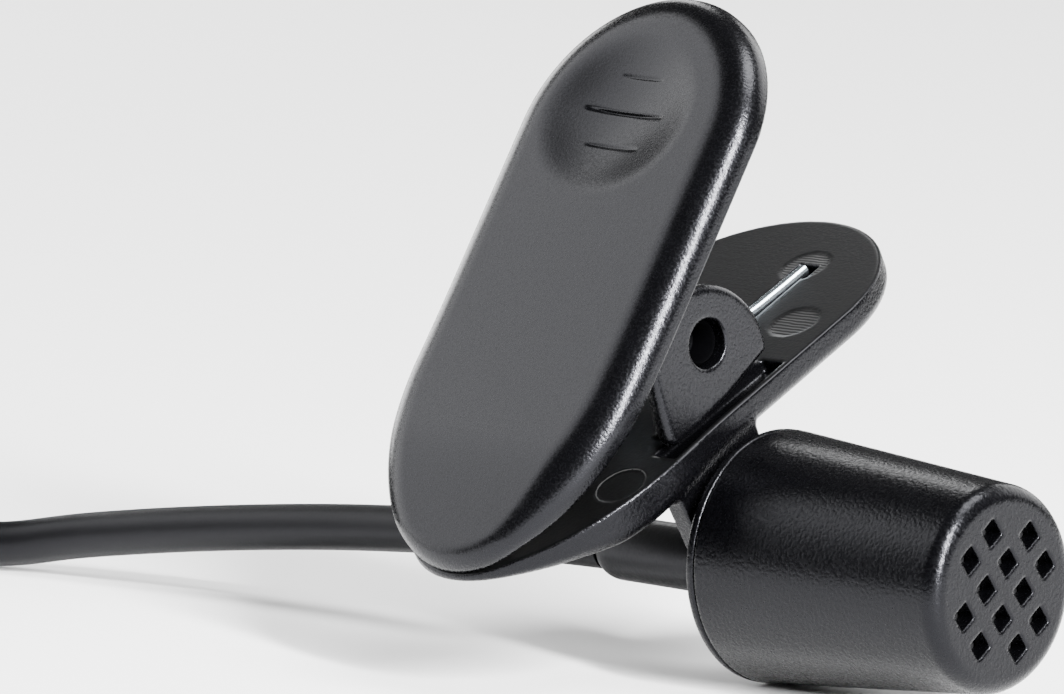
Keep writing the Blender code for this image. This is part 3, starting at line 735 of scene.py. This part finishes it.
def plate_field(x, v, n, ends, inner, outer, thickness, edge):
    """Distance to a clip half's plate between two faces, its outer edge rounded by edge (depth, width)."""
    low, high = inner(v), outer(v)
    away = np.sign(high - low)
    deep = edge[0] * np.clip(np.abs(high - low) / thickness, 0.2, 1)
    body = rounded_cut(half_field(x, v, ends) * edge[0] / edge[1], away * (n - high), deep)
    return rounded_cut(body, away * (low - n), 0.12)


def in_front_frame(v, n):
    """A point of the rear half's frame, in the front half's frame, with the jaws closed."""
    turn = math.radians(REAR_TILT - FRONT_TILT)
    return (v * math.cos(turn) - n * math.sin(turn), v * math.sin(turn) + n * math.cos(turn))


DIMPLE = (-0.6, 11.0)
DIMPLE_RADII = (5.6, 5.0, 1.9)
DIMPLE_RAISE = 1.2
GROOVES = ((13.5, -0.1, 1.6, 0.09), (11.3, -0.45, 3.1, 0.24), (9.1, -0.3, 2.1, 0.11))
GROOVE_WIDTH = 0.10
EAR_CENTRE = -0.9
EAR_RADII = (3.5, 4.3)


def front_field(x, v, n):
    """Front half: plate, thumb dimple with three grip grooves, two outer ears with pivot holes."""
    top = FRONT_PLANE + FRONT_THICKNESS
    body = plate_field(x, v, n, FRONT_ENDS, front_inner, front_outer, FRONT_THICKNESS, FRONT_EDGE)
    bowl = ellipsoid_field(x, v, n, (*DIMPLE, top + DIMPLE_RAISE), DIMPLE_RADII)
    body = rounded_cut(body, -bowl, 0.7)
    for groove_v, middle, half, depth in GROOVES:
        along = np.sqrt(np.clip(1 - ((x - middle) / half) ** 2, 0, 1))
        cut = depth * along * np.exp(-((v - groove_v + 0.04 * (x - middle)) / GROOVE_WIDTH) ** 2)
        body = np.where(n > FRONT_PLANE + 0.6, body + cut, body)
    lobe = [(EAR_RADII[0] * c, EAR_CENTRE + EAR_RADII[1] * s) for c, s in arc((0, 0), 1, -56, 50, 24)]
    sole = [in_front_frame(0.0, -3.66), in_front_frame(-2.6, -3.92)]
    toe = arc(in_front_frame(-4.3, -3.25), 0.65, -125, -210, 8)
    outline = lobe + [(1.6, FRONT_PLANE + 0.5), (-2.8, FRONT_PLANE + 0.5)] + toe[::-1] + sole[::-1]
    slab = np.abs(np.abs(x) - sum(OUTER_EAR) / 2) - (OUTER_EAR[1] - OUTER_EAR[0]) / 2
    ear = rounded_cut(outline_field(v, n, outline), slab, 0.42)
    body = rounded_join(body, ear, 0.35)
    hole = np.hypot(v, n) - (PIN_R + RUNNING_GAP)
    return rounded_cut(body, -hole, 0.12)


def rear_field(x, v, n):
    """Rear half: bent plate, inner ears, ring lug, spring groove and pockets for the outer ears."""
    body = plate_field(x, v, n, REAR_ENDS, rear_inner, rear_outer, REAR_THICKNESS, REAR_EDGE)
    head = arc((0, 0), 3.0, -10, 190, 24) + [(-4.0, REAR_PLANE - 0.5), (4.0, REAR_PLANE - 0.5)]
    slab = np.abs(np.abs(x) - sum(INNER_EAR) / 2) - (INNER_EAR[1] - INNER_EAR[0]) / 2
    ear = rounded_cut(outline_field(v, n, head), slab, 0.15)
    body = rounded_join(body, ear, 0.3)
    neck = REAR.inverted() @ (MIC @ Vector((0, 0, -NECK_DROP)))
    root = REAR_PLANE - 0.8
    x0, x1 = RING_X[0] - CLIP_MIDDLE, RING_X[1] - CLIP_MIDDLE
    lug = arc((neck.y, neck.z), RING_R, 190, 350, 30) + [(neck.y + 3.6, root), (neck.y - 3.6, root)]
    lug_slab = np.maximum(x0 - x, x - x1)
    body = rounded_join(body, rounded_cut(outline_field(v, n, lug), lug_slab, 0.25), 0.3)
    bore = np.hypot(v - neck.y, n - neck.z) - (NECK_R + RUNNING_GAP)
    body = rounded_cut(body, -bore, 0.12)
    mouth = box_field(x, v, n, (x0 - 1, neck.y - 1.5, neck.z - 5), (x1 + 1, neck.y + 1.5, neck.z))
    body = rounded_cut(body, -mouth, 0.2)
    body = rounded_cut(body, PIN_R + 0.03 - np.hypot(v, n), 0.1)
    groove = box_field(x, v, n, (REAR_LEG_X - 0.55, 1.0, REAR_PLANE - 0.55),
                       (REAR_LEG_X + 0.55, LEG_END + 0.3, 0))
    recess = box_field(x, v, n, (REAR_LEG_X - 0.8, LEG_END - 0.9, REAR_PLANE - 1.1),
                       (REAR_LEG_X + 0.8, LEG_END + 0.6, 0))
    body = rounded_cut(body, -np.minimum(groove, recess), 0.08)
    for side in (1, -1):
        inner, outer = sorted((side * (OUTER_EAR[0] - 0.15), side * (OUTER_EAR[1] + 0.4)))
        pocket = box_field(x, v, n, (inner, POCKET_V[0], REAR_PLANE - POCKET_DEPTH), (outer, POCKET_V[1], 0))
        body = rounded_cut(body, -pocket, 0.1)
    for mark_x, mark_v, _, _ in EJECTOR_MARKS:
        step = np.maximum(np.hypot(x - mark_x, v - mark_v) - EJECTOR_R, rear_inner(v) - 0.07 - n)
        body = rounded_cut(body, -step, 0.04)
    return body


CLIP_PITCH = 0.15
CLIP_SLACK = 0.5
GROOVE_PITCH = 0.04
GROOVE_REACH = 0.3
FRONT_DEPTHS = (-6.5, 6.5)
REAR_DEPTHS = (-17.0, 3.5)


def on_inner_face(points, faces):
    """Which faces of the rear half lie on the plate's flat inner side."""
    middle = points[faces].mean(1)
    across = np.cross(points[faces[:, 2]] - points[faces[:, 0]], points[faces[:, 3]] - points[faces[:, 1]])
    facing = across[:, 2] / np.maximum(np.linalg.norm(across, axis=1), 1e-9)
    return (facing > 0.7) & (np.abs(middle[:, 2] - rear_inner(middle[:, 1])) < 0.16)


def make_clip():
    """Both clip halves, each skinned a little past its outline."""
    wide = HALF_WIDTH + CLIP_SLACK
    fine = [(v - GROOVE_REACH, v + GROOVE_REACH, GROOVE_PITCH) for v, _, _, _ in GROOVES]
    low = (-wide, FRONT_ENDS[1] - CLIP_SLACK, FRONT_DEPTHS[0])
    high = (wide, FRONT_ENDS[0] + CLIP_SLACK, FRONT_DEPTHS[1])
    points, faces = skin(front_field, low, high, CLIP_PITCH, fine)
    place("clip_front_half", points, faces, FRONT, CLIP_PLASTIC, "clip_front", ["clip_front"])
    low = (-wide, REAR_ENDS[1] - CLIP_SLACK, REAR_DEPTHS[0])
    high = (wide, REAR_ENDS[0] + CLIP_SLACK, REAR_DEPTHS[1])
    points, faces = skin(rear_field, low, high, CLIP_PITCH)
    place("clip_rear_half", points, faces, REAR, REAR_PLASTIC, "clip_rear", ["clip_back"],
          painted=(INNER_PLASTIC, on_inner_face(points, faces)))


make_clip()


# ---------------------------------------------------------------- microphone

def grille_field(y, z):
    """Distance to the nearest diamond hole: two and three in turn, on the odd points of a square lattice."""
    turn = math.radians(GRILLE_TURN)
    u = y * math.cos(turn) + z * math.sin(turn)
    w = z * math.cos(turn) - y * math.sin(turn)
    half, corner = HOLE_HALF_DIAGONAL / math.sqrt(2), 0.07
    nearest = np.inf
    for j in range(-2, 3):
        for i in range(-2, 3):
            if (i + j) % 2 == 0:
                continue
            a, b = u - i * HOLE_PITCH, w - j * HOLE_PITCH
            p = np.abs(a + b) / math.sqrt(2) - half + corner
            q = np.abs(a - b) / math.sqrt(2) - half + corner
            hole = np.hypot(np.maximum(p, 0), np.maximum(q, 0)) + np.minimum(np.maximum(p, q), 0) - corner
            nearest = np.minimum(nearest, hole)
    return nearest


def barrel_field(x, y, z):
    """Tapered housing, open at the rear, with its grille in the flat front."""
    slope = (BARREL_REAR_R - BARREL_FRONT_R) / BARREL_LENGTH
    wall = (np.hypot(y, z) - BARREL_REAR_R + slope * x) / math.hypot(1, slope)
    body = rounded_cut(wall, x - BARREL_LENGTH, BARREL_FILLET)
    body = rounded_cut(body, -x, 0.14)
    hollow = rounded_cut(wall + BARREL_WALL, x - BARREL_LENGTH + BARREL_WALL, 0.3)
    body = rounded_cut(body, -hollow, 0.1)
    return rounded_cut(body, -grille_field(y, z), 0.09)


def cap_field(x, y, z):
    """Disc that closes the barrel, with a spigot inside it and a round outlet for the neck."""
    radius = np.hypot(y, z)
    back = -CAP_THICKNESS - SEAM
    disc = rounded_cut(rounded_cut(radius - BARREL_REAR_R, back - x, 0.28), x + SEAM, 0.14)
    spigot = np.maximum(radius - (BARREL_REAR_R - BARREL_WALL - 0.35), np.abs(x - 0.4) - 1.2)
    outlet = np.hypot(y, z + NECK_DROP) - (NECK_R + RUNNING_GAP)
    return rounded_cut(np.minimum(disc, spigot), -outlet, 0.12)


BARREL_PITCH = 0.1404


def make_microphone():
    """The barrel, the disc that closes it and the neck behind it."""
    reach = BARREL_REAR_R + 0.4
    high = (BARREL_LENGTH + 0.4, reach, reach)
    points, faces = skin(barrel_field, (-0.4, -reach, -reach), high, BARREL_PITCH)
    place("barrel_shell", points, faces, MIC, BARREL_PLASTIC, "microphone", ["barrel"])
    points, faces = skin(cap_field, (-1.1, -reach, -reach), (2.0, reach, reach), BARREL_PITCH)
    place("rear_cap_disc", points, faces, MIC, BARREL_PLASTIC, "microphone", ["rear_cap"])
    deep, tall = NECK_ROUNDING
    end = [(NECK_END + deep * (1 + c), NECK_R - tall + tall * s) for c, s in arc((0, 0), 1, 180, 90, 16)]
    flange = [(FLANGE[0], NECK_R), (FLANGE[0], FLANGE_R), (FLANGE[1], FLANGE_R), (FLANGE[1], NECK_BORE_R)]
    points, faces = turned([(NECK_END + deep, NECK_BORE_R)] + end + flange)
    place("neck", points, faces, MIC @ Matrix.Translation((0, 0, -NECK_DROP)), NECK_RUBBER, "microphone",
          ["strain_relief"], crease=50)


make_microphone()


# ---------------------------------------------------------------- spring and pin

SPRING_TURNS = 5.25
SPRING_PITCH = 0.78
PIN_HALF_LENGTH = 7.3


def make_spring():
    """The wound wire with its rear leg, the leg under the front plate, and the hollow-ended pin."""
    steps = 40
    seat = REAR_PLANE - 0.1
    leg = [(REAR_LEG_X, LEG_END, seat), (REAR_LEG_X, 11, seat + 0.02), (REAR_LEG_X, 8, seat + 0.15),
           (REAR_LEG_X, 4.5, seat + 0.9), (REAR_LEG_X, 1.8, -2.2)]
    coil = []
    for k in range(round(SPRING_TURNS * steps) + 1):
        angle = math.radians(-90) - 2 * math.pi * k / steps
        x = REAR_LEG_X - SPRING_PITCH * k / steps
        coil.append(Vector((x, SPRING_R * math.cos(angle), SPRING_R * math.sin(angle))))
    line = smooth_route(leg + coil[:1], 0.5)[:-1] + coil
    wire("spring_wound", [REAR @ p for p in line], WIRE_R, STEEL, "clip_rear",
         ["torsion_spring"], sides=5)
    rest = FRONT_PLANE - WIRE_R - 0.06
    route = [(FRONT_LEG_X, 0.6, SPRING_R), (FRONT_LEG_X, 4, 2.25), (FRONT_LEG_X, 8, rest - 0.1),
             (FRONT_LEG_X, 12.5, rest)]
    wire("spring_leg", [FRONT @ p for p in smooth_route(route, 0.5)], WIRE_R, STEEL, "clip_front",
         ["spring_front_leg"], sides=5)
    end = [(PIN_HALF_LENGTH - 1.9, 0), (PIN_HALF_LENGTH - 1.4, 0.85), (PIN_HALF_LENGTH - 0.08, 1.08),
           (PIN_HALF_LENGTH, 1.14), (PIN_HALF_LENGTH - 0.12, PIN_R)]
    profile = [(-x, r) for x, r in end] + [(x, r) for x, r in reversed(end)]
    points, faces = turned(profile)
    # the pin's near-black, sheenless material is partly painted shade for the inside of the hole
    place("pivot_rivet", points, faces, REAR, PIN_BLACK_AND_PAINTED_SHADE, "clip_rear", ["pivot_pin"], crease=40)


make_spring()


# ---------------------------------------------------------------- strap and plug

COIL_INNER_R = 9.1
COIL_OUTER_R = 23.9
COIL_BOTTOM = 0.9
COIL_HEIGHT = 11.6
STRAP_THICKNESS = 0.5
STRAP_HALF_WIDTH = 2.0


def strap_field(x, y, z):
    """A strap wound round one side of the coil, its free end lapped over the top."""
    t = STRAP_THICKNESS
    low = (COIL_INNER_R - 0.4 - t, COIL_BOTTOM - 0.1 - t)
    high = (COIL_OUTER_R + 0.1 + t, COIL_BOTTOM + COIL_HEIGHT + 0.1 + t)
    round_r = 2.2
    across = np.abs(y - (low[0] + high[0]) / 2) - (high[0] - low[0]) / 2 + round_r
    down = np.abs(z - (low[1] + high[1]) / 2) - (high[1] - low[1]) / 2 + round_r
    loop = np.hypot(np.maximum(across, 0), np.maximum(down, 0)) - round_r
    loop = loop + np.minimum(np.maximum(across, down), 0)
    band = np.maximum(loop, -loop - t)
    body = rounded_cut(band, np.abs(x) - STRAP_HALF_WIDTH, 0.12)
    end_y = high[0] - 3.2
    lap = box_field(x, y, z, (-9, low[0] + 2.4, high[1] - 0.1), (9, end_y, high[1] + 0.42))
    tongue = np.hypot(x, np.maximum(y - end_y + STRAP_HALF_WIDTH, 0)) - STRAP_HALF_WIDTH + 0.15
    lap = rounded_cut(rounded_cut(lap, tongue, 0.12), np.abs(x) - STRAP_HALF_WIDTH + 0.15, 0.1)
    return np.minimum(body, lap)


def grooved(x0, x1, count, radius_at, depth, share=0.45):
    """Points of a straight or tapered side with round-bottomed ring grooves cut in it."""
    points = []
    pitch = (x1 - x0) / count
    for k in range(count):
        start = x0 + pitch * (k + 0.5 - share / 2)
        for step in range(9):
            x = start + pitch * share * step / 8
            points.append((x, radius_at(x) - depth * math.sin(math.pi * step / 8)))
    return points


def make_strap_and_plug():
    """The strap round the coil, and the plug's turned pieces in a row."""
    low = (-STRAP_HALF_WIDTH - 0.3, COIL_INNER_R - 1.4, COIL_BOTTOM - 1.1)
    high = (STRAP_HALF_WIDTH + 0.3, COIL_OUTER_R + 1.1, COIL_BOTTOM + COIL_HEIGHT + 1.5)
    points, faces = skin(strap_field, low, high, 0.2)
    coil = MIC @ Matrix.Translation((COIL_CENTRE.x, COIL_CENTRE.y, TABLE))
    place("strap", points, faces, coil, STRAP, "microphone", ["coil_tie"])
    boot = [(0, 0), (0, 1.7), (0.25, 2.05)]
    boot += grooved(0.8, 7.2, 6, lambda x: 2.1 + x / 8, 0.5) + [(7.8, 3.1), (8.0, 2.9), (8.0, 0)]
    shell = [(8.1, 0), (8.1, 3.7), (8.3, 3.95), (8.8, 4.42), (9.1, 4.5)]
    shell += grooved(11.0, 20.0, 12, lambda x: 4.5, 0.18, 0.6)
    shell += [(23.6, 4.5), (24.1, 4.4), (24.6, 3.9), (24.8, 3.5), (24.8, 0)]
    sleeve = [(24.9, 0), (24.9, 2.35), (25.05, 2.5), (26.05, 2.5), (26.2, 2.35), (26.2, 1.75), (31.5, 1.75),
              (31.6, 1.65), (31.6, 0)]
    spacer_1 = [(31.65, 0), (31.65, 1.65), (31.7, 1.7), (32.2, 1.7), (32.25, 1.65), (32.25, 0)]
    ring = [(32.3, 0), (32.3, 1.65), (32.4, 1.75), (34.5, 1.75), (34.6, 1.65), (34.6, 0)]
    spacer_2 = [(x + 3.0, r) for x, r in spacer_1]
    tip = [(35.3, 0), (35.3, 1.65), (35.4, 1.75), (36.1, 1.75), (36.35, 1.62), (36.8, 1.3),
           (37.0, 1.25), (37.25, 1.32), (37.75, 1.68), (38.0, 1.75), (38.25, 1.62), (39.05, 0.78),
           (39.25, 0.5), (39.37, 0.22), (39.4, 0)]
    for name, profile, mat, node, slot in (
            ("boot", boot, RUBBER, "plug_boot", "cable_rubber"),
            ("shell", shell, BARREL_PLASTIC, "plug_shell", "barrel_plastic"),
            ("sleeve", sleeve, NICKEL, "plug_sleeve", "nickel"),
            ("spacer_1", spacer_1, INSULATOR, "plug_insulator_1", "insulator"),
            ("contact_ring", ring, NICKEL, "plug_ring", "nickel"),
            ("spacer_2", spacer_2, INSULATOR, "plug_insulator_2", "insulator"),
            ("tip", tip, NICKEL, "plug_tip", "nickel")):
        points, faces = turned(profile)
        place(name, points, faces, PLUG, mat, "microphone", [node], crease=35)


make_strap_and_plug()


# ---------------------------------------------------------------- CAD nodes that keep their shape

CARRIED = {
    "acoustic_felt": FELT, "electret_element": NICKEL, "element_board": BOARD, "element_seal": RUBBER,
    "signal_wire": LEAD, "ground_wire": LEAD, "wire_ferrule": NICKEL,
}
for node, mat in CARRIED.items():
    materials = frame["nodes"][node].data.materials
    materials.clear()
    materials.append(mat)
